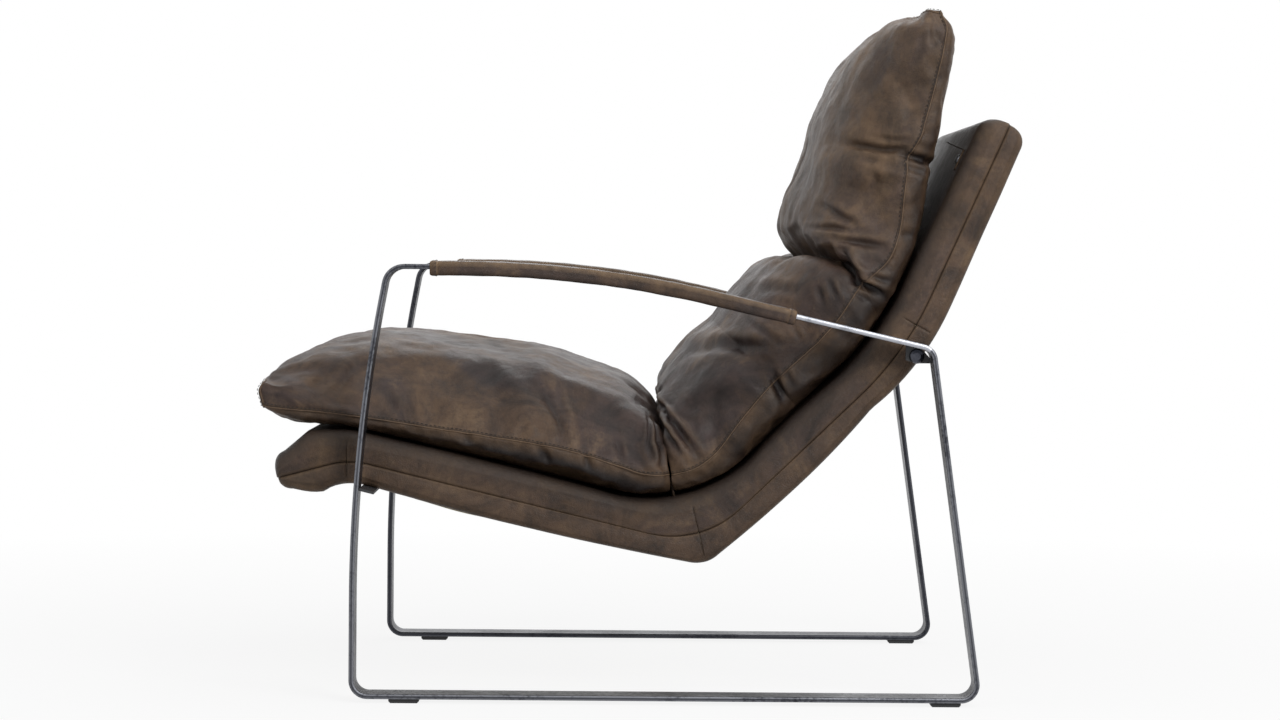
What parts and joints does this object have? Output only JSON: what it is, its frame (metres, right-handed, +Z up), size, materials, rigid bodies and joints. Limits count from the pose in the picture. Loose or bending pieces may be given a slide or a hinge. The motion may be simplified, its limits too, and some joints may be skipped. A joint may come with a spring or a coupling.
{
  "type": "lounge chair",
  "caption": "Reclined lounge chair: flat-bar steel loop sides with padded arm sleeves, an upholstered leather shell and loose channelled cushions.",
  "frame": {"origin": "on the floor, under the middle of the chair's overall box", "axes": "+X to the sitter's left, +Y to the rear of the chair (the sitter faces -Y), +Z up"},
  "size_m": [0.7068, 0.9154, 0.8275],
  "materials": {
    "steel": "raw dark gunmetal, rubbed bright on the edges",
    "bolt_steel": "satin",
    "inner_steel": "semi-matte black",
    "zinc": "zinc plated",
    "leather_shell": "distressed dark brown, semi-gloss",
    "leather_cushion": "distressed dark brown, mottled, semi-gloss",
    "foam": "open-cell foam, matte",
    "webbing": "woven elastic, matte",
    "dust_cloth": "thin non-woven cloth, matte",
    "glide": "matte black"
  },
  "bodies": {
    "root": {"frame_loop_left": "steel", "frame_loop_right": "steel", "glide_front_left": "glide", "glide_front_right": "glide", "glide_rear_left": "glide", "glide_rear_right": "glide", "glide_screw_front_left": "zinc", "glide_screw_front_right": "zinc", "glide_screw_rear_left": "zinc", "glide_screw_rear_right": "zinc", "arm_cover_left": "leather_shell", "arm_cover_right": "leather_shell", "arm_foam_left": "foam", "arm_foam_right": "foam", "shell_rail_left": "inner_steel", "shell_rail_right": "inner_steel", "shell_lug_left": "inner_steel", "shell_lug_right": "inner_steel", "rear_gusset_left": "steel", "rear_gusset_right": "steel", "rear_collar_left": "zinc", "rear_collar_right": "zinc", "rear_bolt_left": "bolt_steel", "rear_bolt_right": "bolt_steel", "front_bracket_left": "steel", "front_bracket_right": "steel", "front_bolt_left": "zinc", "front_bolt_right": "zinc", "head_strap_left": "leather_shell", "head_strap_right": "leather_shell", "strap_snap_left": "zinc", "strap_snap_right": "zinc", "shell_cover": "leather_shell", "shell_band": "leather_shell", "seat_foam": "foam", "back_foam": "foam", "dust_cover": "dust_cloth", "shell_cross_front": "inner_steel", "shell_cross_crease": "inner_steel", "shell_cross_bend": "inner_steel", "shell_cross_top": "inner_steel", "seat_cushion": "leather_cushion", "back_cushion": "leather_cushion", "cushion_join": "leather_cushion", "seat_webbing_1": "webbing", "seat_webbing_2": "webbing", "seat_webbing_3": "webbing", "seat_webbing_4": "webbing", "lumbar_webbing_1": "webbing", "back_webbing_1": "webbing", "lumbar_webbing_2": "webbing", "back_webbing_2": "webbing"}
  },
  "joints": []
}
